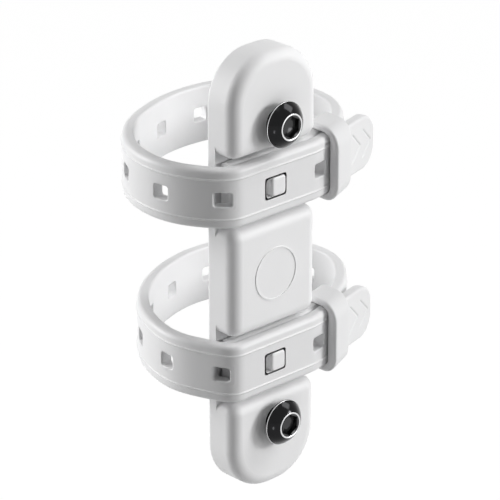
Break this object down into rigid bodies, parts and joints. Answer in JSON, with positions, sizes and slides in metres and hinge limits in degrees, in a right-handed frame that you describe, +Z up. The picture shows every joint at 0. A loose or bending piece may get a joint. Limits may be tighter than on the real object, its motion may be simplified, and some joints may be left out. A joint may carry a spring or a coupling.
{
  "type": "bottle cage adapter",
  "caption": "Strap-on holder that fastens a bottle cage to a bicycle tube: a long padded body with cage screws, held by perforated rubber straps with pull tabs and sliding keepers.",
  "frame": {"origin": "midway between the cage screws, on the front plane of the pads", "axes": "+Z up along the bicycle tube, -Y the front where the bottle cage goes, +Y towards the tube, X across the body with the strap tails at +X"},
  "size_m": [0.0571, 0.0485, 0.0932],
  "materials": {
    "body_plastic": "fine matte moulding",
    "strap_rubber": "smooth satin moulding",
    "keeper_rubber": "smooth satin moulding",
    "screw_black": "glossy black",
    "insert_brass": "turned"
  },
  "bodies": {
    "adapter": {"adapter_body": "body_plastic", "insert_top": "insert_brass", "insert_bottom": "insert_brass", "strap_upper": "strap_rubber", "strap_lower": "strap_rubber"},
    "top_screw": {"screw_top": "screw_black"},
    "bottom_screw": {"screw_bottom": "screw_black"},
    "upper_keeper": {"keeper_upper": "keeper_rubber"},
    "lower_keeper": {"keeper_lower": "keeper_rubber"}
  },
  "joints": [
    {"name": "top_screw_travel", "type": "slide", "parent": "adapter", "child": "top_screw", "axis": [0, -1, 0], "range_m": [-0.002, 0.0028]},
    {"name": "bottom_screw_travel", "type": "slide", "parent": "adapter", "child": "bottom_screw", "axis": [0, -1, 0], "range_m": [-0.002, 0.0028]},
    {"name": "upper_keeper_slide", "type": "slide", "parent": "adapter", "child": "upper_keeper", "axis": [0.9659, 0.2588, 0], "range_m": [-0.0018, 0.0005]},
    {"name": "lower_keeper_slide", "type": "slide", "parent": "adapter", "child": "lower_keeper", "axis": [0.9659, 0.2588, 0], "range_m": [-0.0018, 0.0005]}
  ]
}
